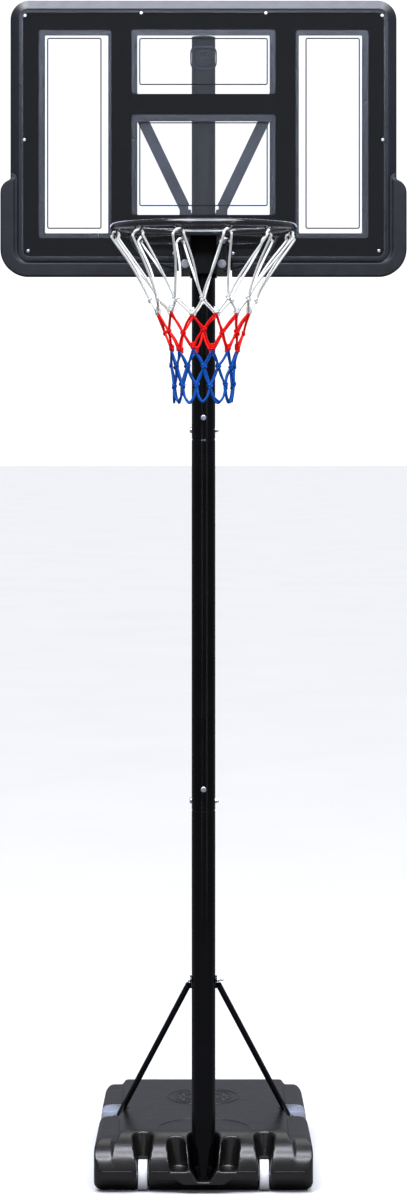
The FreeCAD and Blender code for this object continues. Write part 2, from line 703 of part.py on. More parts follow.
def make_frame():
    z0, z1 = FRAME_Z
    back = prism_xz(-FRAME_HALF_W, FRAME_HALF_W, z0, z1, BEVEL_BACK, WEB_BACK, FRAME_R)
    rail_half = FRAME_HALF_W - BEVEL_W
    bevel = Part.makeLoft([
        rounded_wire(FRAME_HALF_W, z0, z1, FRAME_R, BEVEL_BACK),
        rounded_wire(rail_half, z0 + BEVEL_W, z1 - BEVEL_W, FRAME_R - BEVEL_W, RAIL_FRONT),
    ], True, True)
    frame = back.fuse(bevel)
    groove_x = PANEL_HALF_W + 5
    frame = frame.cut(prism_xz(-groove_x, groove_x, PANEL_Z[0] - 5, PANEL_Z[1] + 5, -120, -111, PANEL_R + 3))
    seat_x = PANEL_HALF_W + 0.5
    seat = prism_xz(-seat_x, seat_x, PANEL_Z[0] - 0.5, PANEL_Z[1] + 0.5, -120, WEB_FRONT, PANEL_R)
    frame = frame.cut(seat)
    lip_ring = prism_xz(-FRAME_HALF_W, FRAME_HALF_W, z0, z1, WEB_BACK, FLANGE_BACK, FRAME_R)
    lip_half = FRAME_HALF_W - LIP_WALL
    lip_ring = lip_ring.cut(prism_xz(-lip_half, lip_half, z0 + LIP_WALL, z1 - LIP_WALL,
                                     WEB_BACK - 1, FLANGE_BACK + 1, FRAME_R - LIP_WALL))
    lip_ring = lip_ring.cut(block(-84, 84, WEB_BACK, FLANGE_BACK, z0 - 1, z0 + 20))
    frame = fuse_all(frame, [lip_ring])
    bosses = []
    for side in (-1, 1):
        x, z = brace_point(BRACE_TOP_BOLT_Z)
        bosses.append(hole(Vector(side * x, WEB_BACK - 0.5, z), Y_AXIS, 3.4, 13))
    frame = fuse_all(frame, bosses)
    for rect in (SIDE_WINDOW, mirror_rect(SIDE_WINDOW), TOP_WINDOW, LOW_WINDOW):
        frame = frame.cut(window(rect, BEVEL_BACK - 1, WEB_BACK + 5, WINDOW_R))
    frame = frame.cut(block(-PAD_GAP_HALF, PAD_GAP_HALF, -125, BOARD_FRONT, z0 - 1, PANEL_Z[0] + 10))
    for x, z in screw_points():
        frame = frame.cut(hole(Vector(x, -120, z), Y_AXIS, 60, 2.1))
    frame = cut_all(frame, through_board(M8_R + M8_CLEAR, (-RIM_BOLT_X, RIM_BOLT_X), RIM_BOLT_Z))
    for side in (-1, 1):
        x, z = brace_point(BRACE_TOP_BOLT_Z)
        frame = frame.cut(hole(Vector(side * x, -103, z), Y_AXIS, 20, 3.2))
    save("backboard_frame", frame)


def make_panel():
    panel_back = BOARD_FRONT + PANEL_T
    bolt_cuts = through_board(M8_R + M8_CLEAR, (-RIM_BOLT_X, RIM_BOLT_X), RIM_BOLT_Z)
    screw_cuts = [hole(Vector(x, -120, z), Y_AXIS, 40, 2.1) for x, z in screw_points()]
    panel = prism_xz(-PANEL_HALF_W, PANEL_HALF_W, *PANEL_Z, BOARD_FRONT, panel_back, PANEL_R)
    save("backboard_panel", cut_all(panel, bolt_cuts + screw_cuts))
    ink_half = PANEL_HALF_W - INK_MARGIN
    ink = prism_xz(-ink_half, ink_half, PANEL_Z[0] + INK_MARGIN, PANEL_Z[1] - INK_MARGIN,
                   panel_back, panel_back + INK_T, INK_CORNER_R)
    for rect in (SIDE_CLEAR, mirror_rect(SIDE_CLEAR), TOP_CLEAR, LOW_CLEAR):
        ink = ink.cut(window(rect, panel_back - 1, panel_back + 1, CLEAR_R))
    save("panel_print", cut_all(ink, bolt_cuts + screw_cuts))
    stripes = []
    for x0, x1, z0, z1 in (SIDE_STRIPE, mirror_rect(SIDE_STRIPE), TOP_STRIPE, LOW_STRIPE):
        outer = window((x0, x1, z0, z1), panel_back, panel_back + INK_T, STRIPE_R)
        inner_rect = (x0 + STRIPE_W, x1 - STRIPE_W, z0 + STRIPE_W, z1 - STRIPE_W)
        stripes.append(outer.cut(window(inner_rect, panel_back - 1, panel_back + 1, STRIPE_R - STRIPE_W)))
    save("window_pinstripes", Part.makeCompound(stripes))
    screws = []
    for x, z in screw_points():
        head = Part.makeCylinder(4.3, 2.4, Vector(x, BOARD_FRONT - 2.4, z), Y_AXIS)
        crown = [e for e in head.Edges if e.CenterOfMass.y < BOARD_FRONT - 2.3]
        head = head.makeFillet(1.4, crown)
        screws.append(head.fuse(Part.makeCylinder(2, 12, Vector(x, BOARD_FRONT, z), Y_AXIS)).removeSplitter())
    save("panel_screws", Part.makeCompound(screws))


def make_pads():
    """The soft channel that wraps the board's lower edge and corners, in two halves."""
    y0, y1 = PAD_Y
    over = PAD_TOP + 400
    outline = prism_xz(-PAD_HALF_W, PAD_HALF_W, PAD_BOTTOM, over, y0, y1, PAD_CORNER_R)
    ears = block(-PAD_HALF_W - 1, PAD_HALF_W + 1, y0 - 1, y1 + 1, PAD_TOP, over + 1)
    pad = outline.cut(ears)
    lip_z = FRAME_Z[0] + PAD_LIP_LOW
    lip = FRAME_HALF_W - PAD_LIP_SIDE
    pad = pad.cut(prism_xz(-lip, lip, lip_z, over, y0 - 1, y1 + 1, PAD_LIP_R))
    step = FRAME_HALF_W - PAD_STEP_SIDE
    pad = pad.cut(prism_xz(-step, step, lip_z, over, y0 - 1, PAD_STEP_Y, PAD_STEP_R))
    slot_half = FRAME_HALF_W + PAD_FIT
    slot = prism_xz(-slot_half, slot_half, FRAME_Z[0] - PAD_FIT, over,
                    RAIL_FRONT - PAD_FIT, FLANGE_BACK + PAD_FIT, FRAME_R + PAD_FIT)
    pad = pad.cut(slot)
    half = pad.common(block(PAD_GAP_HALF, PAD_HALF_W + 1, y0 - 1, y1 + 1, PAD_BOTTOM - 1, PAD_TOP + 1))
    ear_x, ear_z = PAD_HALF_W - PAD_EAR_R, PAD_TOP - PAD_EAR_R
    corner = block(ear_x, PAD_HALF_W + 1, y0 - 1, y1 + 1, ear_z, PAD_TOP + 1)
    half = half.cut(corner.cut(hole(Vector(ear_x, y0 - 2, ear_z), Y_AXIS, y1 - y0 + 4, PAD_EAR_R)))
    half = half.fuse(pad_tongue()).removeSplitter()
    save("edge_pad_right", half)
    save("edge_pad_left", mirrored(half))


def pad_tongue():
    """The thin round-ended flap that carries the right pad's inner flange up the frame's bevel."""
    inner = FRAME_HALF_W - PAD_LIP_SIDE
    top = PAD_TOP + TONGUE_RISE
    flap = block(inner, FRAME_HALF_W, PAD_STEP_Y, RAIL_FRONT - PAD_FIT, PAD_TOP - TONGUE_R, top)
    corner = [e for e in flap.Edges if is_flap_corner(e, inner, top)]
    return flap.makeFillet(TONGUE_R, corner)


def is_flap_corner(edge, x, z):
    point = edge.CenterOfMass
    return abs(point.x - x) < 0.1 and abs(point.z - z) < 0.1


# ---- carriage and braces ------------------------------------------------------------------------

def brace_point(z):
    """A point on the right brace's centre line, at a height."""
    x0, z0 = BRACE_LOW
    x1, z1 = BRACE_HIGH
    return x0 + (x1 - x0) * (z - z0) / (z1 - z0), z


def make_braces():
    x0, z0 = BRACE_LOW
    x1, z1 = BRACE_HIGH
    lean = Vector(x1 - x0, 0, z1 - z0)
    length = lean.Length
    lean.normalize()
    bar = block(-BRACE_W / 2, BRACE_W / 2, 0, BRACE_DEPTH, 0, length)
    hollow = block(-BRACE_W / 2 + 2.5, BRACE_W / 2 - 2.5, 2.5, BRACE_DEPTH + 1, -1, length + 1)
    channel = bar.cut(hollow)
    front = WEB_BACK + SHEET_T
    channel.Placement = Placement(Vector(x0, front, z0), Rotation(Z_AXIS, lean))
    tab_x0, tab_x1, tab_z0, tab_z1 = BRACE_TAB
    tab = block(tab_x0, tab_x1, front, front + 2.5, tab_z0, tab_z1)
    brace = channel.fuse(tab).removeSplitter()
    x_top, z_top = brace_point(BRACE_TOP_BOLT_Z)
    x_low, z_low = BRACE_LOW_BOLT
    for x, z in ((x_top, z_top), (x_low, z_low)):
        brace = brace.cut(hole(Vector(x, WEB_FRONT, z), Y_AXIS, 24, BRACE_BOLT_HOLE_R))
    save("brace_right", brace)
    save("brace_left", mirrored(brace))
    bolts = []
    for side in (-1, 1):
        top = Vector(side * x_top, front + 2.5, z_top)
        low = Vector(side * x_low, front + 2.5, z_low)
        for seat, length in ((top, 9.0), (low, 5.4)):
            bolts.append(bolt(seat, Vector(0, -1, 0), length, head_r=5.8, head_h=4, shank_r=3))
    save("brace_bolts", Part.makeCompound(bolts))


def make_carriage():
    z0, z1 = CARRIAGE_Z
    front = WEB_BACK
    outer = CARRIAGE_IN + SHEET_T
    web = block(CARRIAGE_IN, outer, front, outer, z0, z1)
    flange = block(CARRIAGE_IN, FLANGE_OUT, front, front + SHEET_T, z0, z1 + 7)
    slant = Part.Face(polygon_wire([
        Vector(CARRIAGE_IN - 1, 0, z1), Vector(FLANGE_OUT + 1, 0, z1 + 7),
        Vector(FLANGE_OUT + 1, 0, z1 + 9), Vector(CARRIAGE_IN - 1, 0, z1 + 9),
    ])).extrude(Vector(0, 20, 0))
    slant.translate(Vector(0, front - 5, 0))
    back = block(-outer, outer, CARRIAGE_IN, outer, z0, z1)
    carriage = fuse_all(back, both(web) + both(flange.cut(slant)))
    upright = [e for e in carriage.Edges if is_back_corner(e, outer)]
    carriage = carriage.makeFillet(2.5, upright)
    carriage = cut_all(carriage, through_board(M8_R + M8_CLEAR, (-RIM_BOLT_X, RIM_BOLT_X), RIM_BOLT_Z))
    for side in (-1, 1):
        bolt_at = Vector(side * BRACE_LOW_BOLT[0], WEB_FRONT, BRACE_LOW_BOLT[1])
        carriage = carriage.cut(hole(bolt_at, Y_AXIS, 24, BRACE_BOLT_HOLE_R))
    for z in CLAMP_Z:
        carriage = carriage.cut(hole(Vector(-60, CLAMP_Y, z), X_AXIS, 120))
    save("carriage_bracket", carriage)
    bolts = [bolt(Vector(-outer, CLAMP_Y, z), X_AXIS, 2 * outer + 14) for z in CLAMP_Z]
    nuts = [nut(Vector(outer, CLAMP_Y, z), X_AXIS) for z in CLAMP_Z]
    save("carriage_clamp_bolts", Part.makeCompound(bolts))
    save("carriage_clamp_nuts", Part.makeCompound(nuts))


def is_back_corner(edge, outer):
    point = edge.CenterOfMass
    upright = abs(edge.tangentAt(edge.FirstParameter).z) > 0.9
    return upright and abs(abs(point.x) - outer) < 0.1 and abs(point.y - outer) < 0.1


# ---- rim ----------------------------------------------------------------------------------------

def rim_point(turn, z, radius=RIM_R):
    """A point over the rim circle; a turn of zero is at the back, towards the board."""
    return Vector(radius * math.sin(turn), RIM_Y + radius * math.cos(turn), z)


def make_rim():
    ring = Part.makeTorus(RIM_R, RIM_TUBE_R, Vector(0, RIM_Y, RIM_Z))
    save("rim_ring", ring)
    clear_ring = Part.makeCylinder(RIM_R + RIM_TUBE_R + 0.05, 200, Vector(0, RIM_Y, RIM_Z - 150))
    x0, x1 = RIM_PLATE
    z0, z1 = RIM_PLATE_Z
    back = BOARD_FRONT
    plate_front = back - RIM_PLATE_T
    reach = RIM_Y + RIM_R + RIM_TUBE_R - RIM_BRACKET_OVERLAP
    flange = block(x0, x1, plate_front, back, z0, z1 + 2)
    web = Part.Face(polygon_wire([
        Vector(x0, back, z0), Vector(x0, back, z1), Vector(x0, reach, z1),
        Vector(x0, reach, z1 - 14), Vector(x0, back - 40, z0 + 8), Vector(x0, back - 20, z0),
    ])).extrude(Vector(RIM_WEB_T, 0, 0))
    top = block(-x1, x1, reach, back, z1, z1 + RIM_PLATE_T)
    bracket = fuse_all(top, both(flange) + both(web))
    bracket = bracket.cut(clear_ring)
    bracket = cut_all(bracket, through_board(M8_R + M8_CLEAR, (-RIM_BOLT_X, RIM_BOLT_X), RIM_BOLT_Z))
    save("rim_bracket", bracket)
    half, low = x0 - 0.2, z0 + RIM_COVER_RISE
    cover_front = back - RIM_COVER_DEPTH
    cover_in = cover_front + RIM_COVER_T
    cover = block(-half, half, cover_front, cover_in, low, z1 - 0.2)
    cover = cover.fuse(block(-half, half, cover_in, back - 0.2, low, low + RIM_COVER_T)).removeSplitter()
    save("rim_cover", cover)
    torus_clear = Part.makeTorus(RIM_R, RIM_TUBE_R + 0.05, Vector(0, RIM_Y, RIM_Z))
    brace_rod = arc_bar(Vector(58, plate_front - 3.7, 2519), RIM_ROD_BEND, RIM_ROD_END, RIM_ROD_R)
    save("rim_brace_rods", Part.makeCompound(both(brace_rod)))
    make_hooks(torus_clear)
    make_rim_bolts(plate_front)


def make_hooks(torus_clear):
    """Wire hooks in a V under the rim, evenly spaced, two of them either side of the very front."""
    hooks = []
    spread = math.radians(HOOK_SPREAD)
    for k in range(HOOK_COUNT):
        turn = 2 * math.pi * (k + 0.5) / HOOK_COUNT
        tip = rim_point(turn, HOOK_Z)
        left = rim_point(turn - spread, RIM_Z - 6)
        right = rim_point(turn + spread, RIM_Z - 6)
        bead = Part.makeSphere(HOOK_WIRE_R, tip)
        hook = fuse_all(bead, [rod(tip, left, HOOK_WIRE_R), rod(tip, right, HOOK_WIRE_R)])
        hooks.append(hook.cut(torus_clear))
    save("net_hooks", Part.makeCompound(hooks))


def make_rim_bolts(plate_front):
    bolts = []
    washers = []
    nuts = []
    nut_face = WEB_BACK + SHEET_T
    for x in (-RIM_BOLT_X, RIM_BOLT_X):
        for z in RIM_BOLT_Z:
            seat = Vector(x, plate_front - 2, z)
            bolts.append(bolt(seat, Y_AXIS, nut_face - plate_front + 2 + 10))
            washer = Part.makeCylinder(11.5, 2, seat, Y_AXIS)
            washers.append(washer.cut(hole(seat, Y_AXIS, 2)))
            nuts.append(nut(Vector(x, nut_face, z), Y_AXIS))
    save("rim_bolts", Part.makeCompound(bolts))
    save("rim_washers", Part.makeCompound(washers))
    save("rim_nuts", Part.makeCompound(nuts))


# ---- net ----------------------------------------------------------------------------------------

def net_sleeve(levels):
    """A funnel wall through circles given as (height, radius), centred under the rim."""
    outer = [Vector(r + NET_T / 2, 0, z) for z, r in levels]
    inner = [Vector(r - NET_T / 2, 0, z) for z, r in levels]
    face = Part.Face(polygon_wire(outer + inner[::-1]))
    wall = face.revolve(Vector(0, 0, 0), Z_AXIS, 360)
    wall.translate(Vector(0, RIM_Y, 0))
    return wall


def make_net():
    save("net_white", net_sleeve([NET_TOP, (2429.0, 138.5), NET_WHITE_END]))
    save("net_red", net_sleeve([NET_WHITE_END, (2344.0, 102.0), NET_RED_END]))
    save("net_blue", net_sleeve([NET_RED_END] + list(NET_BLUE)))


make_base()
make_fill_cap()
make_wheels()
make_pole()
make_struts()
make_frame()
make_panel()
make_pads()
make_braces()
make_carriage()
make_rim()
make_net()
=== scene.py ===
import json
import math
import random

import bmesh
import bpy
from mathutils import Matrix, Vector


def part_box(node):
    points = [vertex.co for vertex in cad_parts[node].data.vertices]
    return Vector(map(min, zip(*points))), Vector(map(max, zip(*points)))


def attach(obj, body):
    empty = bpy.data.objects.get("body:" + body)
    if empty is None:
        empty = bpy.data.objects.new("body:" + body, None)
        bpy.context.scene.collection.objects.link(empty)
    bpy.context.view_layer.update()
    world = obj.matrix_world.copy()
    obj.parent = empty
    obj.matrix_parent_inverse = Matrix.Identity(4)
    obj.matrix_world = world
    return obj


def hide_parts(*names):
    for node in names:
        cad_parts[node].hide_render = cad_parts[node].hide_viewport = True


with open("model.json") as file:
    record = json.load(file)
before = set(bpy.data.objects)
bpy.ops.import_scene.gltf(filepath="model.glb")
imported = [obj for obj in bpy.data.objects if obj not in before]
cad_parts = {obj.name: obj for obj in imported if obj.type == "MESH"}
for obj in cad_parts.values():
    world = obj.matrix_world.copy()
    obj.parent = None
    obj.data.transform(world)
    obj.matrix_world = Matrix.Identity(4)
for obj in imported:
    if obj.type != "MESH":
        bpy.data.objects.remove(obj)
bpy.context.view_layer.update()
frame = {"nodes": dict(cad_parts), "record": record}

# A portable basketball hoop: looks for every CAD node, with a softened base tank, foam edge pads
# and a knotted cord net built here. Metres, in the CAD's own frame.

nodes = frame["nodes"]
scene = bpy.context.scene
draw = random.Random(7)

WELD_GAP = 0.00002
FULL_TURN = 2 * math.pi


# ---- mesh helpers -------------------------------------------------------------------------------

def new_object(name, mesh, material, body):
    piece = bpy.data.objects.new(name, mesh)
    scene.collection.objects.link(piece)
    mesh.materials.clear()
    mesh.materials.append(material)
    for face in mesh.polygons:
        face.use_smooth = True
    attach(piece, body)
    return piece


def modifier(piece, kind, **values):
    made = piece.modifiers.new(kind.lower(), kind)
    for key, value in values.items():
        setattr(made, key, value)
    return made


def welded_copy(node):
    """A CAD node's mesh with its split corners joined."""
    build = bmesh.new()
    build.from_mesh(nodes[node].data)
    bmesh.ops.remove_doubles(build, verts=build.verts[:], dist=WELD_GAP)
    return build


def softened(build, name, slot, body, voxel, smoothing, keep):
    """A solid with every edge rolled over: remeshed, smoothed and thinned out."""
    rough = new_object(name + "_rough", finish_mesh(build, name), finishes[slot], body)
    modifier(rough, "REMESH", mode="VOXEL", voxel_size=voxel)
    modifier(rough, "SMOOTH", factor=0.5, iterations=smoothing)
    view = bpy.context.evaluated_depsgraph_get()
    mesh = bpy.data.meshes.new_from_object(rough.evaluated_get(view))
    bpy.data.objects.remove(rough)
    piece = new_object(name, mesh, finishes[slot], body)
    modifier(piece, "DECIMATE", ratio=keep)
    return piece


def round_edges(node, width, segments=2, angle=32.0):
    """Rolls the sharp edges of a CAD node over by a small radius."""
    piece = nodes[node]
    modifier(piece, "WELD", merge_threshold=WELD_GAP)
    modifier(piece, "BEVEL", width=width, segments=segments, limit_method="ANGLE",
             angle_limit=math.radians(angle), use_clamp_overlap=True, miter_outer="MITER_ARC")
    modifier(piece, "WEIGHTED_NORMAL", keep_sharp=False, weight=80)


def smooth_line(points, per_span=6, closed=False):
    """Points along a smooth curve that passes through the given ones."""
    count = len(points)
    spans = count if closed else count - 1
    line = []
    for i in range(spans):
        if closed:
            p0, p1, p2, p3 = (points[(i + j) % count] for j in (-1, 0, 1, 2))
        else:
            p1, p2 = points[i], points[i + 1]
            p0 = points[i - 1] if i else p1 * 2 - p2
            p3 = points[i + 2] if i + 2 < count else p2 * 2 - p1
        for step in range(per_span):
            t = step / per_span
            line.append(0.5 * (
                p1 * 2 + (p2 - p0) * t
                + (p0 * 2 - p1 * 5 + p2 * 4 - p3) * t * t
                + (p1 * 3 - p0 - p2 * 3 + p3) * t * t * t
            ))
    if not closed:
        line.append(points[-1].copy())
    return line


def add_tube(build, line, radius, sides=8, closed=False):
    """Adds a round cord along a line, with a UV map of turn and length in metres."""
    uv = build.loops.layers.uv.verify()
    count = len(line)
    rings = []
    length = 0.0
    lengths = [0.0]
    side = None
    for i, point in enumerate(line):
        before = line[i - 1] if i or closed else point
        after = line[(i + 1) % count] if i + 1 < count or closed else point
        along = (after - before).normalized()
        if side is None:
            side = along.orthogonal().normalized()
        side = (side - along * side.dot(along)).normalized()
        up = along.cross(side)
        ring = []
        for k in range(sides):
            turn = FULL_TURN * k / sides
            ring.append(build.verts.new(point + (side * math.cos(turn) + up * math.sin(turn)) * radius))
        rings.append(ring)
        if i + 1 < count:
            length += (line[i + 1] - point).length
            lengths.append(length)
    last = count if closed else count - 1
    for i in range(last):
        first, second = rings[i], rings[(i + 1) % count]
        for k in range(sides):
            corners = (first[k], first[(k + 1) % sides], second[(k + 1) % sides], second[k])
            face = build.faces.new(corners)
            near, far = lengths[i], lengths[min(i + 1, count - 1)]
            ends = (near, near, far, far)
            turns = (k, k + 1, k + 1, k)
            for loop, turn, end in zip(face.loops, turns, ends):
                loop[uv].uv = (turn / sides, end)
    if not closed:
        build.faces.new(rings[0][::-1])
        build.faces.new(rings[-1])


def finish_mesh(build, name):
    bmesh.ops.recalc_face_normals(build, faces=build.faces[:])
    mesh = bpy.data.meshes.new(name)
    build.to_mesh(mesh)
    build.free()
    return mesh


def centre_of(node):
    low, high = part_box(node)
    return (low + high) / 2


# ---- material helpers ---------------------------------------------------------------------------

class Finish:
    """A material under construction: one Principled shader and the textures that feed it."""

    def __init__(self, name, **sockets):
        self.material = bpy.data.materials.new(name)
        self.material.use_nodes = True
        self.tree = self.material.node_tree
        self.shader = self.tree.nodes["Principled BSDF"]
        self.place = self.tree.nodes.new("ShaderNodeTexCoord")
        for key, value in sockets.items():
            self.shader.inputs[key.replace("_", " ")].default_value = value

    def add(self, kind, settings=None, **sockets):
        node = self.tree.nodes.new(kind)
        for key, value in (settings or {}).items():
            setattr(node, key, value)
        for key, value in sockets.items():
            self.feed(value, node.inputs[key.replace("_", " ")])
        return node

    def feed(self, value, socket):
        if isinstance(value, bpy.types.NodeSocket):
            self.tree.links.new(value, socket)
        else:
            socket.default_value = value

    def spots(self, scale, detail=3.0, stretch=(1, 1, 1), rough=0.55, turn=(0, 0, 0)):
        """Cloudy noise; scale is in features per metre."""
        mapping = self.add("ShaderNodeMapping", Vector=self.place.outputs["Object"],
                           Scale=stretch, Rotation=turn)
        noise = self.add("ShaderNodeTexNoise", Vector=mapping.outputs["Vector"],
                         Scale=scale, Detail=detail, Roughness=rough)
        return noise.outputs["Fac"]

    def span(self, value, low, high, start=0.3, end=0.7):
        made = self.add("ShaderNodeMapRange", Value=value, From_Min=start, From_Max=end,
                        To_Min=low, To_Max=high)
        return made.outputs["Result"]

    def mix(self, factor, first, second):
        made = self.add("ShaderNodeMix", {"data_type": "RGBA"})
        self.feed(factor, made.inputs["Factor"])
        self.feed(first, made.inputs[6])
        self.feed(second, made.inputs[7])
        return made.outputs[2]

    def math(self, operation, first, second=0.0):
        made = self.add("ShaderNodeMath", {"operation": operation})
        self.feed(first, made.inputs[0])
        self.feed(second, made.inputs[1])
        return made.outputs[0]

    def bump(self, height, depth, strength=1.0, over=None):
        made = self.add("ShaderNodeBump", Height=height, Distance=depth, Strength=strength)
        if over is not None:
            self.feed(over, made.inputs["Normal"])
        return made.outputs["Normal"]

    def scratches(self, scale, thin, turn):
        """Sparse straight scuffs: 1 on a scratch and 0 elsewhere."""
        lines = self.spots(scale, 2.0, (1, thin, thin), 0.5, turn)
        patches = self.spots(scale * 0.4, 1.0)
        fine = self.span(lines, 0.0, 1.0, 0.64, 0.70)
        here = self.span(patches, 0.0, 1.0, 0.52, 0.62)
        return self.math("MULTIPLY", fine, here)

    def paint(self, colour=None, rough=None, normal=None):
        for value, name in ((colour, "Base Color"), (rough, "Roughness"), (normal, "Normal")):
            if value is not None:
                self.feed(value, self.shader.inputs[name])
        return self.material


def rgb(red, green, blue):
    """A colour socket's value from 0-255 screen values."""
    parts = []
    for value in (red, green, blue):
        share = value / 255
        parts.append(share / 12.92 if share <= 0.04045 else ((share + 0.055) / 1.055) ** 2.4)
    return (*parts, 1.0)


def moulded_plastic(name, dark, light, rough, scuffs=0.5, level=0.45, tint=(1.0, 1.0, 1.0, 1.0)):
    """Grained moulded plastic with cloudy colour, fine pits and pale scuffs."""
    look = Finish(name, Specular_IOR_Level=level, Specular_Tint=tint)
    clouds = look.spots(7.0, 5.0)
    base = look.mix(look.span(clouds, 0.0, 1.0), dark, light)
    marks = look.scratches(9.0, 26.0, (0.3, 0.2, 0.9))
    cross = look.scratches(14.0, 34.0, (0.1, 0.6, 2.2))
    both_marks = look.math("MULTIPLY", look.math("MAXIMUM", marks, cross), scuffs)
    pale = tuple(min(1.0, part * 2.4) for part in light[:3]) + (1.0,)
    colour = look.mix(both_marks, base, pale)
    gloss = look.span(look.spots(35.0, 4.0), rough - 0.03, rough + 0.05)
    pits = look.bump(look.spots(900.0, 2.0), 0.00012, 0.35)
    waves = look.bump(look.spots(5.0, 1.0), 0.0008, 0.05, pits)
    return look.paint(colour, gloss, waves)


def painted_steel(name, dark, light, rough, coat=0.0, wear=0.25, level=0.5):
    """Powder-coated steel: orange peel, faint dust and small chips."""
    look = Finish(name, Coat_Weight=coat, Coat_Roughness=0.06, Specular_IOR_Level=level)
    base = look.mix(look.span(look.spots(9.0, 4.0), 0.0, 1.0), dark, light)
    marks = look.math("MULTIPLY", look.scratches(16.0, 30.0, (0.2, 0.1, 0.4)), wear)
    dust = tuple(min(1.0, part * 3.0 + 0.01) for part in light[:3]) + (1.0,)
    colour = look.mix(marks, base, dust)
    gloss = look.span(look.spots(24.0, 4.0), rough - 0.05, rough + 0.09)
    peel = look.bump(look.spots(260.0, 1.0), 0.0001, 0.06)
    return look.paint(colour, gloss, peel)


def zinc_plate(name):
    look = Finish(name, Metallic=1.0)
    tone = look.span(look.spots(60.0, 4.0), 0.0, 1.0)
    colour = look.mix(tone, (0.63, 0.66, 0.74, 1.0), (0.72, 0.75, 0.83, 1.0))
    gloss = look.span(look.spots(120.0, 3.0), 0.27, 0.34)
    normal = look.bump(look.spots(500.0, 2.0), 0.00005, 0.12)
    return look.paint(colour, gloss, normal)


def clear_sheet(name):
    """Clear polycarbonate with a slight haze, faint smears and hairline scratches."""
    look = Finish(name, IOR=1.5, Transmission_Weight=0.994)
    marks = look.scratches(5.0, 60.0, (0.0, 0.7, 0.0))
    haze = look.span(look.spots(5.0, 5.0), 0.0, 1.0)
    colour = look.mix(haze, (0.88, 0.93, 1.0, 1.0), (0.93, 0.96, 1.0, 1.0))
    smears = look.span(look.spots(8.0, 5.0), 0.0, 0.012)
    gloss = look.math("ADD", smears, look.math("MULTIPLY", marks, 0.08))
    normal = look.bump(look.spots(3.0, 1.0), 0.0001, 0.01)
    return look.paint(colour, gloss, normal)


def screen_ink(name, dark, light, rough):
    look = Finish(name, Specular_IOR_Level=0.3)
    colour = look.mix(look.span(look.spots(12.0, 6.0, rough=0.65), 0.0, 1.0), dark, light)
    gloss = look.span(look.spots(60.0, 4.0), rough - 0.1, rough + 0.1)
    return look.paint(colour, gloss, look.bump(look.spots(1500.0, 1.0), 0.00004, 0.3))


def foam_skin(name, dark, light):
    """Closed-cell foam with a fine ribbed skin."""
    look = Finish(name, Sheen_Weight=0.03, Sheen_Roughness=0.4, Specular_IOR_Level=0.28)
    colour = look.mix(look.span(look.spots(22.0, 5.0), 0.0, 1.0), dark, light)
    gloss = look.span(look.spots(50.0, 3.0), 0.40, 0.56)
    pores = look.bump(look.spots(1300.0, 2.0), 0.00015, 0.4)
    ribs = look.spots(14.0, 2.0, (1.0, 1.0, 26.0))
    return look.paint(colour, gloss, look.bump(ribs, 0.0006, 0.3, pores))


def braided_cord(name, dark, light):
    """Braided polyester cord: crossing plaits laid out by the cord's own length and turn, with painted shade
    in the grooves between them.
    """
    look = Finish(name, Sheen_Weight=0.05, Sheen_Roughness=0.35, Specular_IOR_Level=0.15,
                  Subsurface_Weight=0.05, Subsurface_Scale=0.002)
    plaits = []
    for lean in (1.0, -1.0):
        mapping = look.add("ShaderNodeMapping", Vector=look.place.outputs["UV"],
                           Scale=(2.0 * lean, 320.0, 1.0))
        wave = look.add("ShaderNodeTexWave", {"bands_direction": "DIAGONAL", "wave_profile": "SIN"},
                        Vector=mapping.outputs["Vector"], Scale=0.5, Distortion=0.6, Detail=1.0)
        plaits.append(wave.outputs["Fac"])
    weave = look.math("MULTIPLY", plaits[0], plaits[1])
    # painted shade: the cord's colour is darker in the grooves between the plaits, where shade falls; the
    # cloudy noise adds random tone
    painted_fold_shade = look.span(weave, 0.62, 1.0, 0.0, 0.5)
    shade = look.math("MULTIPLY", painted_fold_shade, look.span(look.spots(60.0, 3.0), 0.88, 1.0))
    colour = look.mix(shade, dark, light)
    gloss = look.span(weave, 0.75, 0.55, 0.0, 0.6)
    return look.paint(colour, gloss, look.bump(weave, 0.0002, 0.5))


def ballast_water(name):
    look = Finish(name, IOR=1.33, Transmission_Weight=1.0)
    murk = look.span(look.spots(6.0), 0.0, 1.0)
    colour = look.mix(murk, (0.75, 0.88, 0.92, 1.0), (0.85, 0.95, 0.98, 1.0))
    gloss = look.span(look.spots(20.0), 0.01, 0.04)
    return look.paint(colour, gloss, look.bump(look.spots(9.0), 0.001, 0.2))


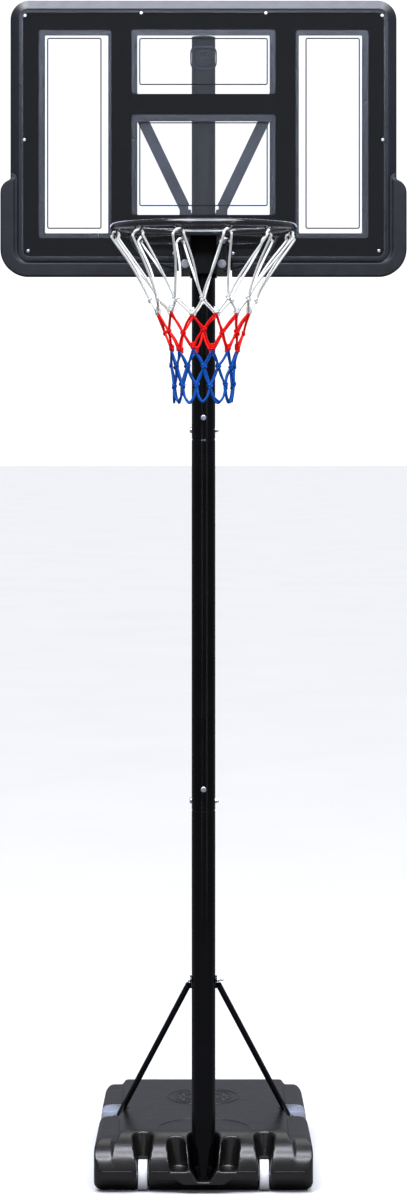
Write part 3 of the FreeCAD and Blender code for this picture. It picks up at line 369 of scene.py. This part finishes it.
finishes = {
    "base_plastic": moulded_plastic("tank_plastic", rgb(10, 10, 10), rgb(19, 18, 17), 0.29, scuffs=0.35,
                                    level=0.75, tint=(1.0, 0.97, 0.95, 1.0)),
    "water": ballast_water("ballast_water"),
    "cap_plastic": moulded_plastic("cap_plastic", rgb(24, 24, 25), rgb(34, 34, 36), 0.38),
    "gasket_rubber": moulded_plastic("gasket_rubber", rgb(22, 22, 22), rgb(32, 31, 30), 0.66),
    "black_steel": painted_steel("black_steel", rgb(2, 2, 3), rgb(6, 6, 8), 0.17, 0.1, level=0.15),
    "rim_steel": painted_steel("rim_steel", rgb(9, 9, 11), rgb(17, 17, 20), 0.17, 0.8),
    "bracket_steel": painted_steel("bracket_steel", rgb(20, 21, 25), rgb(52, 54, 60), 0.36, 0.1, 0.6),
    "zinc_steel": zinc_plate("zinc_steel"),
    "wheel_plastic": moulded_plastic("wheel_plastic", rgb(226, 226, 228), rgb(242, 242, 243), 0.42,
                                     scuffs=0.25),
    "frame_plastic": moulded_plastic("frame_plastic", rgb(20, 21, 26), rgb(26, 27, 33), 0.30),
    "clear_panel": clear_sheet("clear_panel"),
    "black_ink": screen_ink("black_ink", rgb(3, 5, 20), rgb(13, 17, 44), 0.4),
    "grey_ink": screen_ink("grey_ink", rgb(8, 8, 10), rgb(22, 22, 26), 0.5),
    "pad_foam": foam_skin("pad_foam", rgb(14, 15, 19), rgb(23, 24, 31)),
    "white_cord": braided_cord("white_cord", rgb(200, 200, 193), rgb(226, 226, 219)),
    "red_cord": braided_cord("red_cord", rgb(176, 4, 3), rgb(240, 14, 9)),
    "blue_cord": braided_cord("blue_cord", rgb(0, 44, 100), rgb(2, 78, 166)),
}

for part in frame["record"]["subparts"]:
    mesh = nodes[part["node"]].data
    mesh.materials.clear()
    mesh.materials.append(finishes[part["material_slot"]])
cover_black = painted_steel("cover_black", rgb(1, 1, 2), rgb(4, 4, 5), 0.5, level=0.15)
nodes["rim_cover"].data.materials[0] = cover_black


# ---- base tank ----------------------------------------------------------------------------------

# the hollow: one middle chamber, with two lobes on each side; each span is (low, high)
CHAMBER_HALF_W = 0.208
CHAMBER_Y = (0.064, 0.690)
CHAMBER_Z = (0.008, 0.146)
LOBE_HALF_W = 0.280
LOBES_Y = ((0.070, 0.262), (0.448, 0.680))
LOBE_Z = (0.008, 0.128)
HOLLOW_SLACK = 0.0002

TANK_VOXEL = 0.0028
TANK_SMOOTHING = 9
TANK_KEEP = 0.45


def within(value, span):
    return span[0] - HOLLOW_SLACK < value < span[1] + HOLLOW_SLACK


def inside_tank(point):
    """True for a corner of the tank's hollow."""
    x, y, z = abs(point.x), point.y, point.z
    middle = x < CHAMBER_HALF_W + HOLLOW_SLACK and within(y, CHAMBER_Y) and within(z, CHAMBER_Z)
    beside_lobe = any(within(y, span) for span in LOBES_Y)
    side = x < LOBE_HALF_W + HOLLOW_SLACK and beside_lobe and within(z, LOBE_Z)
    return middle or side


def softened_tank():
    """The tank's outside only, with every moulded edge rolled over."""
    build = welded_copy("base_tank")
    hollow = [face for face in build.faces if all(inside_tank(v.co) for v in face.verts)]
    bmesh.ops.delete(build, geom=hollow, context="FACES")
    open_edges = [edge for edge in build.edges if edge.is_boundary]
    bmesh.ops.holes_fill(build, edges=open_edges, sides=0)
    tank = softened(build, "moulded_tank", "base_plastic", "base", TANK_VOXEL, TANK_SMOOTHING, TANK_KEEP)
    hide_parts("base_tank")


# a ridge's section, as shares of its width and height
RIDGE_SECTION = ((-0.5, -0.6), (-0.36, 0.45), (-0.14, 0.95), (0.14, 0.95), (0.36, 0.45), (0.5, -0.6))


def add_ridge(build, centre, radius, width, height, first=0.0, last=FULL_TURN):
    """A low rounded ridge along a circle, or part of one, sunk a little into the surface."""
    closed = last - first > 6.28
    steps = max(12, int(96 * (last - first) / FULL_TURN))
    rows = []
    for i in range(steps + (0 if closed else 1)):
        turn = first + (last - first) * i / steps
        out = Vector((math.cos(turn), math.sin(turn), 0))
        rows.append([build.verts.new(centre + out * (radius + a * width) + Vector((0, 0, b * height)))
                     for a, b in RIDGE_SECTION])
    for i in range(steps):
        here, after = rows[i], rows[(i + 1) % len(rows)]
        for k in range(len(RIDGE_SECTION) - 1):
            build.faces.new((here[k], here[k + 1], after[k + 1], after[k]))
        build.faces.new((here[-1], here[0], after[0], after[-1]))
    if not closed:
        build.faces.new(rows[0])
        build.faces.new(rows[-1][::-1])


NECK_RISE = 0.004
MEDALLION_Y = 0.462
HALF_RING_Y = 0.052
HALF_RING_ENDS = (math.radians(4), math.radians(176))
# each ring as (radius, ridge width, ridge height)
MEDALLION_RINGS = ((0.1028, 0.0056, 0.0024), (0.0830, 0.0042, 0.0018), (0.0500, 0.0034, 0.0014))
BEAD = (0.0105, 0.0034, 0.0011)
HALF_RING = (0.1283, 0.0052, 0.0022)
BEADS = 12
BEADS_R = 0.0665


def tank_ridges():
    """Plain rings and a half ring moulded on the tank's flat top."""
    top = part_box("base_tank")[1].z - NECK_RISE
    medallion = Vector((0, MEDALLION_Y, top))
    build = bmesh.new()
    for ring in MEDALLION_RINGS:
        add_ridge(build, medallion, *ring)
    for k in range(BEADS):
        turn = FULL_TURN * k / BEADS
        spot = medallion + Vector((math.cos(turn), math.sin(turn), 0)) * BEADS_R
        add_ridge(build, spot, *BEAD)
    add_ridge(build, Vector((0, HALF_RING_Y, top)), *HALF_RING, *HALF_RING_ENDS)
    new_object("tank_top_rings", finish_mesh(build, "tank_top_rings"), finishes["base_plastic"],
               "base")


SEAM_Z = 0.0640
SEAM_R = 0.0011
SEAM_PROUD = 0.0004
SEAM_STEPS = 8
# on each side, from the pole's lip to the wheel and from the wheel to the corner
SEAM_SPANS = ((0.092, 0.146), (0.187, 0.284))


def parting_line():
    """The thin seam along the front of the tank, broken by the wheels and the pole's lip."""
    build = bmesh.new()
    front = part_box("base_tank")[0].y + SEAM_PROUD
    for side in (-1, 1):
        for first, last in SEAM_SPANS:
            line = [Vector((side * (first + (last - first) * i / SEAM_STEPS), front, SEAM_Z))
                    for i in range(SEAM_STEPS + 1)]
            add_tube(build, line, SEAM_R, 6)
    new_object("tank_parting_line", finish_mesh(build, "tank_parting_line"), finishes["base_plastic"],
               "base")


softened_tank()
tank_ridges()
parting_line()


# ---- foam edge pads -----------------------------------------------------------------------------

PAD_VOXEL = 0.0022
PAD_SMOOTHING = 7
PAD_KEEP = 0.5


def foam_pad(node, name):
    pad = softened(welded_copy(node), name, "pad_foam", "board_assembly", PAD_VOXEL, PAD_SMOOTHING, PAD_KEEP)
    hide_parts(node)


for side in ("left", "right"):
    foam_pad("edge_pad_" + side, "foam_edge_pad_" + side)


# ---- badge on the panel -------------------------------------------------------------------------

def add_outline(build, points, thick, front, back):
    """A closed printed line, given its middle as (x, z) points, between two depths."""
    count = len(points)
    rows = []
    for i, (x, z) in enumerate(points):
        (x0, z0), (x1, z1) = points[i - 1], points[(i + 1) % count]
        along = Vector((x1 - x0, 0, z1 - z0)).normalized()
        side = Vector((-along.z, 0, along.x)) * thick / 2
        middle = Vector((x, 0, z))
        rows.append([build.verts.new(middle + side * a + Vector((0, y, 0)))
                     for a, y in ((-1, front), (1, front), (1, back), (-1, back))])
    for i in range(count):
        here, after = rows[i], rows[(i + 1) % count]
        for k in range(4):
            build.faces.new((here[k], here[(k + 1) % 4], after[(k + 1) % 4], after[k]))


BADGE_DROP = 0.1260
BADGE_HALF_W = 0.0345
BADGE_HALF_H = 0.0300
BADGE_LINE = 0.0036
INK_NEAR = 0.00005
INK_FAR = 0.00025
BALL_R = 0.0195
BALL_LINE = 0.0030
BALL_SEAM_AT = 0.0255
BALL_SEAM_LINE = 0.0014
BALL_SEAM_STEP = 0.0012


def rounded_outline(middle):
    """The badge's outline, between a box and an oval."""
    corners = []
    for i in range(48):
        t = FULL_TURN * i / 48
        c, d = math.cos(t), math.sin(t)
        corners.append((BADGE_HALF_W * math.copysign(abs(c) ** 0.55, c),
                        middle + BADGE_HALF_H * math.copysign(abs(d) ** 0.4, d)))
    return corners


def plain_badge():
    """A plain printed badge: a rounded outline round a ball of simple seams."""
    panel_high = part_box("backboard_panel")[1]
    depths = (panel_high.y + INK_NEAR, panel_high.y + INK_FAR)
    middle = panel_high.z - BADGE_DROP
    build = bmesh.new()
    add_outline(build, rounded_outline(middle), BADGE_LINE, *depths)
    turns = [FULL_TURN * i / 40 for i in range(40)]
    ball = [(BALL_R * math.cos(t), middle + BALL_R * math.sin(t)) for t in turns]
    add_outline(build, ball, BALL_LINE, *depths)
    for lean in (-1, 1):
        seam = []
        for i in range(17):
            t = math.radians(-62 + 124 * i / 16)
            seam.append((lean * (BALL_SEAM_AT - BALL_R * math.cos(t)), middle + BALL_R * math.sin(t) * 0.92))
        back_again = [(x + lean * BALL_SEAM_STEP, z) for x, z in seam[::-1]]
        add_outline(build, seam + back_again, BALL_SEAM_LINE, *depths)
    for flat in (0.0, math.pi / 2):
        bar = [(-BALL_R, 0.0), (BALL_R, 0.0), (BALL_R, BALL_SEAM_STEP), (-BALL_R, BALL_SEAM_STEP)]
        turned = [(x * math.cos(flat) - z * math.sin(flat), middle + x * math.sin(flat) + z * math.cos(flat))
                  for x, z in bar]
        add_outline(build, turned, BALL_SEAM_LINE, *depths)
    new_object("plain_badge", finish_mesh(build, "plain_badge"), finishes["black_ink"],
               "board_assembly")


plain_badge()


# ---- net ----------------------------------------------------------------------------------------

MESHES = 12
STEP = FULL_TURN / MESHES
CORD_R = 0.0031
STRAND_BOW = 0.004
WHITE_KNOT = 0.0021
COLOUR_KNOT = 0.0019
# a binding's turns, radius and height
WHITE_BINDING = (4, 0.0052, 0.016)
RED_BINDING = (4, 0.0050, 0.015)
BINDING_LIFT = Vector((0, 0, 0.008))
HOOK_DEPTH = 0.0056
LOOP_HALF_W = 0.0135
LOOP_OFF_RING = 0.0058
# how far out and how far down from its top each point of a loop's arch lies
LOOP_ARCH = ((1.0, 0.017), (0.93, 0.009), (0.45, 0.001))
LEG_SAG = 0.006
HEM_RISE = Vector((0, 0, 0.004))

rim = centre_of("rim_ring")
rim_low, rim_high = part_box("rim_ring")
hook_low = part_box("net_hooks")[0].z
RIM_R = (rim_high.x - rim_low.x) / 2 - (rim_high.z - rim_low.z) / 2
white_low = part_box("net_white")[0]
red_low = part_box("net_red")[0]
blue_low, blue_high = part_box("net_blue")
blue_drop = blue_high.z - blue_low.z

# height, radius and the half steps by which each row of knots is turned
ROWS = {
    "A": (white_low.z + 0.040, 0.1385, 0.0),
    "B": (white_low.z, 0.1215, 0.5),
    "C": (red_low.z + 0.050, 0.102, 0.0),
    "D": (red_low.z, 0.089, 0.5),
    "E": (blue_high.z - blue_drop * 0.29, 0.0825, 0.0),
    "F": (blue_high.z - blue_drop * 0.65, 0.0785, 0.5),
    "G": (blue_low.z + CORD_R + 0.001, 0.0765, 0.0),
}


def around(turn, radius, height):
    """A point about the rim's centre; a turn of zero is at the front."""
    return Vector((rim.x + radius * math.sin(turn), rim.y - radius * math.cos(turn), height))


def loose(size):
    return draw.uniform(-size, size)


knots = {}
for row, (height, radius, turned) in ROWS.items():
    knots[row] = []
    for k in range(MESHES):
        turn = (k + turned) * STEP + loose(0.045)
        lift = abs(loose(0.006)) if row == "G" else loose(0.005)
        knots[row].append(around(turn, radius + loose(0.003), height + lift))


def strand(start, end, bow):
    """A cord between two knots that bows a little to one side and inwards."""
    middle = (start + end) / 2
    inwards = (Vector((rim.x, rim.y, middle.z)) - middle).normalized()
    across = (end - start).normalized().cross(inwards)
    bend = middle + across * bow + inwards * abs(bow) * 0.5
    return smooth_line([start, bend, end], 5)


def link_rows(build, upper, lower):
    """Two cords down from every upper knot to its neighbours in the row below."""
    shift = 0 if ROWS[upper][2] < ROWS[lower][2] else 1
    for k in range(MESHES):
        for other in (k - 1 + shift, k + shift):
            end = knots[lower][other % MESHES]
            add_tube(build, strand(knots[upper][k], end, loose(STRAND_BOW)), CORD_R)


def add_knot(build, at, size, lean):
    """A tight overhand knot."""
    line = []
    for i in range(36):
        t = FULL_TURN * i / 36
        across = math.sin(t) + 2 * math.sin(2 * t)
        upwards = math.cos(t) - 2 * math.cos(2 * t)
        flat = Vector((across, -math.sin(3 * t) * 1.2, upwards))
        flat.rotate(lean)
        line.append(at + flat * size)
    add_tube(build, line, CORD_R * 0.92, 7, True)


def facing(at):
    """The turn about Z that faces a knot outwards."""
    out = at - Vector((rim.x, rim.y, at.z))
    return out.to_track_quat("-Y", "Z")


def add_binding(build, at, turns, radius, height):
    """Cord wound tightly round the place where two colours meet."""
    line = []
    steps = turns * 12
    for i in range(steps + 1):
        t = FULL_TURN * i / 12
        rise = height * (i / steps - 0.5)
        spot = Vector((math.cos(t) * radius, math.sin(t) * radius * 0.8, rise))
        spot.rotate(facing(at))
        line.append(at + spot)
    add_tube(build, line, CORD_R * 0.85, 7)


def add_top_loop(build, k):
    """A long white loop over one hook, down to the two knots beside it."""
    turn = (k + 0.5) * STEP + loose(0.012)
    top = hook_low + HOOK_DEPTH + CORD_R
    wide = LOOP_HALF_W + loose(0.0012)
    lean = loose(0.0015)
    left_side = [around(turn - wide * out / RIM_R, RIM_R + LOOP_OFF_RING, top - drop + lean)
                 for out, drop in LOOP_ARCH]
    right_side = [around(turn + wide * out / RIM_R, RIM_R - LOOP_OFF_RING, top - drop - lean)
                  for out, drop in LOOP_ARCH]
    points = []
    for knot, shoulder in ((knots["A"][k], left_side[0]), (knots["A"][(k + 1) % MESHES], right_side[0])):
        leg = [knot]
        for share in (0.22, 0.6):
            sway = Vector((rim.x - knot.x, rim.y - knot.y, 0)).normalized() * LEG_SAG
            leg.append(knot.lerp(shoulder, share) + sway + Vector((loose(0.003), loose(0.003), 0)))
        points.append(leg)
    left_leg, right_leg = points
    line = left_leg + left_side + [around(turn, RIM_R, top + 0.0012)] + right_side[::-1] + right_leg[::-1]
    add_tube(build, smooth_line(line, 5), CORD_R)


def add_hem_loop(build, k):
    """A blue loop that hangs between two knots of the last row."""
    left, right = knots["F"][k - 1], knots["F"][k]
    low = knots["G"][k]
    wide = (right - left) * 0.27
    points = [left, left.lerp(low - wide, 0.6), low - wide * 0.55 + HEM_RISE, low,
              low + wide * 0.55 + HEM_RISE, right.lerp(low + wide, 0.6), right]
    add_tube(build, smooth_line(points, 6), CORD_R)


def cord_net():
    colours = {name: bmesh.new() for name in ("white", "red", "blue")}
    white, red, blue = colours.values()
    for k in range(MESHES):
        add_top_loop(white, k)
        add_knot(white, knots["A"][k], WHITE_KNOT, facing(knots["A"][k]))
        add_binding(white, knots["B"][k] + BINDING_LIFT, *WHITE_BINDING)
        add_knot(red, knots["C"][k], COLOUR_KNOT, facing(knots["C"][k]))
        add_binding(red, knots["D"][k] + BINDING_LIFT, *RED_BINDING)
        add_knot(blue, knots["E"][k], COLOUR_KNOT, facing(knots["E"][k]))
        add_knot(blue, knots["F"][k], COLOUR_KNOT, facing(knots["F"][k]))
        add_hem_loop(blue, k)
    link_rows(white, "A", "B")
    link_rows(red, "B", "C")
    link_rows(red, "C", "D")
    link_rows(blue, "D", "E")
    link_rows(blue, "E", "F")
    for name, build in colours.items():
        slot = name + "_cord"
        mesh = finish_mesh(build, "cord_net_" + name)
        piece = new_object("cord_net_" + name, mesh, finishes[slot], "board_assembly")
        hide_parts("net_" + name)


cord_net()


# ---- rolled edges on the CAD parts --------------------------------------------------------------

EDGE_RADII = {
    0.0020: ("backboard_frame",),
    0.0010: ("wheel_left", "wheel_right", "carriage_bracket", "rim_bracket", "rim_cover", "pole_top_cap",
             "fill_cap"),
    0.0008: ("brace_left", "brace_right", "strut_saddle_left", "strut_saddle_right"),
    0.0005: ("rim_bolts", "rim_nuts", "rim_washers", "carriage_clamp_bolts", "carriage_clamp_nuts",
             "brace_bolts", "pole_joint_bolts", "pole_joint_nuts", "strut_pole_bolt", "strut_pole_nut",
             "strut_foot_bolts", "panel_screws", "strut_left", "strut_right"),
}
for width, names in EDGE_RADII.items():
    for node in names:
        round_edges(node, width)


# ---- floor, light and camera --------------------------------------------------------------------

FLOOR_HALF_W = 120.0
FLOOR_BOUNCE = (0.16, 0.16, 0.17, 1.0)


def make_floor():
    """A pale floor that sends little light back up."""
    build = bmesh.new()
    bmesh.ops.create_grid(build, x_segments=8, y_segments=8, size=FLOOR_HALF_W)
    mesh = finish_mesh(build, "studio_floor")
    floor = bpy.data.objects.new("studio_floor", mesh)
    scene.collection.objects.link(floor)
    look = Finish("studio_floor", Specular_IOR_Level=0.1)
    clouds = look.span(look.spots(0.8, 4.0), 0.0, 1.0)
    pale = look.mix(clouds, (0.93, 0.93, 0.93, 1.0), (0.96, 0.96, 0.96, 1.0))
    seen = look.add("ShaderNodeLightPath").outputs["Is Camera Ray"]
    tone = look.mix(seen, FLOOR_BOUNCE, pale)
    mesh.materials.append(look.paint(tone, look.span(look.spots(2.0), 0.8, 0.9)))


def add_sun(name, azimuth, elevation, strength, width, colour):
    """A soft distant light; azimuth 0 shines from the front and 90 from the right."""
    lamp = bpy.data.lights.new(name, "SUN")
    lamp.energy = strength
    lamp.angle = math.radians(width)
    lamp.color = colour
    holder = bpy.data.objects.new(name, lamp)
    scene.collection.objects.link(holder)
    a, e = math.radians(azimuth), math.radians(elevation)
    source = Vector((math.sin(a) * math.cos(e), -math.cos(a) * math.cos(e), math.sin(e)))
    holder.rotation_euler = source.to_track_quat("Z", "Y").to_euler()


def add_softbox(name, at, aim, size, power, colour):
    lamp = bpy.data.lights.new(name, "AREA")
    lamp.shape = "RECTANGLE"
    lamp.size, lamp.size_y = size
    lamp.energy = power
    lamp.color = colour
    holder = bpy.data.objects.new(name, lamp)
    scene.collection.objects.link(holder)
    holder.location = at
    holder.rotation_euler = (Vector(at) - Vector(aim)).to_track_quat("Z", "Y").to_euler()
    holder.visible_camera = False


# strengths of the sky: seen straight, as fill, and as fill that comes through the clear panel
SKY_WHITE = 1.2
SKY_FILL = 0.30
PANEL_FILL = 1.0
SKY_FILL_COLOUR = (0.81, 0.85, 1.0, 1.0)


def make_sky():
    """White straight behind everything, and a dimmer cool grey in reflections and fill."""
    world = bpy.data.worlds.new("studio")
    scene.world = world
    world.use_nodes = True
    tree = world.node_tree
    tree.nodes.clear()
    path = tree.nodes.new("ShaderNodeLightPath").outputs

    def calculate(operation, first, second, third=None):
        made = tree.nodes.new("ShaderNodeMath")
        made.operation = operation
        for value, socket in zip((first, second, third), made.inputs):
            if isinstance(value, bpy.types.NodeSocket):
                tree.links.new(value, socket)
            elif value is not None:
                socket.default_value = value
        return made.outputs[0]

    bounces = calculate("ADD", path["Diffuse Depth"], path["Glossy Depth"])
    unbounced = calculate("LESS_THAN", bounces, 0.5)
    through_panel = calculate("MULTIPLY", path["Is Transmission Ray"], unbounced)
    straight = calculate("MAXIMUM", path["Is Camera Ray"], through_panel)
    strength = calculate("MULTIPLY_ADD", path["Is Transmission Ray"], PANEL_FILL - SKY_FILL, SKY_FILL)
    mix = tree.nodes.new("ShaderNodeMixShader")
    fill = tree.nodes.new("ShaderNodeBackground")
    fill.inputs["Color"].default_value = SKY_FILL_COLOUR
    tree.links.new(strength, fill.inputs["Strength"])
    white = tree.nodes.new("ShaderNodeBackground")
    white.inputs["Color"].default_value = (1.0, 1.0, 1.0, 1.0)
    white.inputs["Strength"].default_value = SKY_WHITE
    output = tree.nodes.new("ShaderNodeOutputWorld")
    tree.links.new(straight, mix.inputs[0])
    tree.links.new(fill.outputs[0], mix.inputs[1])
    tree.links.new(white.outputs[0], mix.inputs[2])
    tree.links.new(mix.outputs[0], output.inputs["Surface"])


CAMERA_AT = (0.0, -8.58, 2.13)
LENS_MM = 93.75
SENSOR_MM = 36.0
RISE_SHIFT = -0.155


def make_camera():
    lens = bpy.data.cameras.new("camera")
    lens.lens = LENS_MM
    lens.sensor_width = SENSOR_MM
    lens.shift_y = RISE_SHIFT
    lens.clip_end = 400.0
    holder = bpy.data.objects.new("camera", lens)
    scene.collection.objects.link(holder)
    holder.location = CAMERA_AT
    holder.rotation_euler = (math.radians(90), 0.0, 0.0)
    scene.camera = holder


scene.view_settings.view_transform = "Standard"
make_floor()
make_sky()
add_sun("sun_front_left", azimuth=-38, elevation=56, strength=1.5, width=28, colour=(1.0, 0.99, 0.97))
add_sun("sun_front_right", azimuth=42, elevation=50, strength=1.1, width=28, colour=(0.97, 0.98, 1.0))
add_sun("sun_back", azimuth=170, elevation=52, strength=0.25, width=30, colour=(1.0, 1.0, 1.0))
add_softbox("softbox_top", at=(0.0, -1.5, 5.6), aim=(0.0, -0.3, 2.4), size=(3.4, 1.2), power=170,
            colour=(0.80, 0.85, 1.0))
add_softbox("softbox_low", at=(0.0, -3.4, 4.25), aim=(0.0, 0.0, 0.1), size=(2.8, 0.8), power=120,
            colour=(0.82, 0.87, 1.0))
add_softbox("strip_left", at=(-1.7, -6.2, 2.0), aim=(0.0, 0.0, 1.7), size=(0.22, 4.4), power=16,
            colour=(0.95, 0.95, 1.0))
add_softbox("strip_right", at=(2.9, -4.4, 2.0), aim=(0.0, 0.0, 1.7), size=(0.3, 4.4), power=14,
            colour=(1.0, 0.97, 0.93))
make_camera()
